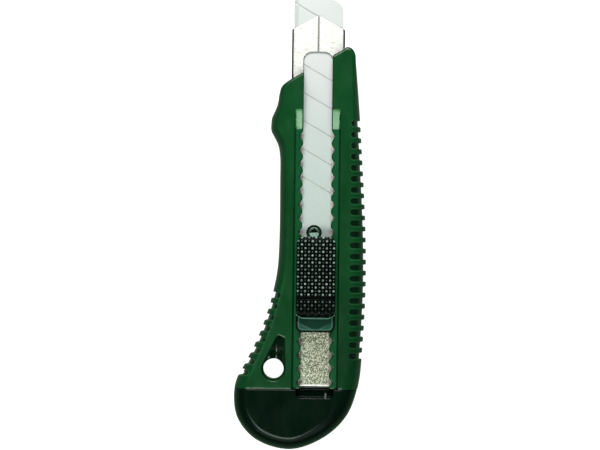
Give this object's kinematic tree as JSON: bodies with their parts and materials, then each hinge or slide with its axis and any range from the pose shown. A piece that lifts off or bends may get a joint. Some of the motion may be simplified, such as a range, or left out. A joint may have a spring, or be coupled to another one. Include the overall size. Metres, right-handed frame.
{
  "type": "snap-off utility knife",
  "caption": "Utility knife with a scored snap-off blade in a folded steel guide, a sliding thumb lock on toothed strips, a curved ribbed handle and a dark end cap.",
  "frame": {"origin": "centre of the knife's footprint on the surface that it lies on, at the handle's flat back", "axes": "+Y towards the blade's point, +Z out of the front face with the thumb slider, +X towards the palm side with the long row of finger ribs"},
  "size_m": [0.048, 0.1734, 0.0174],
  "materials": {
    "handle_plastic": "glossy moulded green plastic",
    "cap_plastic": "glossy moulded plastic, very dark green",
    "slider_plastic": "black moulded nylon",
    "guide_steel": "galvanised sheet, bright on its lips and speckled inside",
    "blade_steel": "fine ground tool steel",
    "stud_steel": "turned and polished steel",
    "spring_steel": "rolled spring steel"
  },
  "bodies": {
    "handle": {"handle_body": "handle_plastic", "blade_guide_rail": "guide_steel"},
    "slider": {"slider_carrier": "slider_plastic", "snap_off_blade": "blade_steel", "blade_stud": "stud_steel"},
    "button": {"thumb_button": "slider_plastic", "lock_spring": "spring_steel"},
    "cap": {"end_cap": "cap_plastic"}
  },
  "joints": [
    {"name": "slider_slide", "type": "slide", "parent": "handle", "child": "slider", "axis": [0, 1, 0], "range_m": [-0.02, 0.035], "deforming": ["lock_spring"]},
    {"name": "button_press", "type": "slide", "parent": "slider", "child": "button", "axis": [0, 0, -1], "range_m": [0, 0.0012], "stiffness_N_per_m": 2000, "springref_m": -0.0006, "deforming": ["lock_spring"]},
    {"name": "end_cap_pull", "type": "slide", "parent": "handle", "child": "cap", "axis": [0, -1, 0], "range_m": [0, 0.018]}
  ]
}
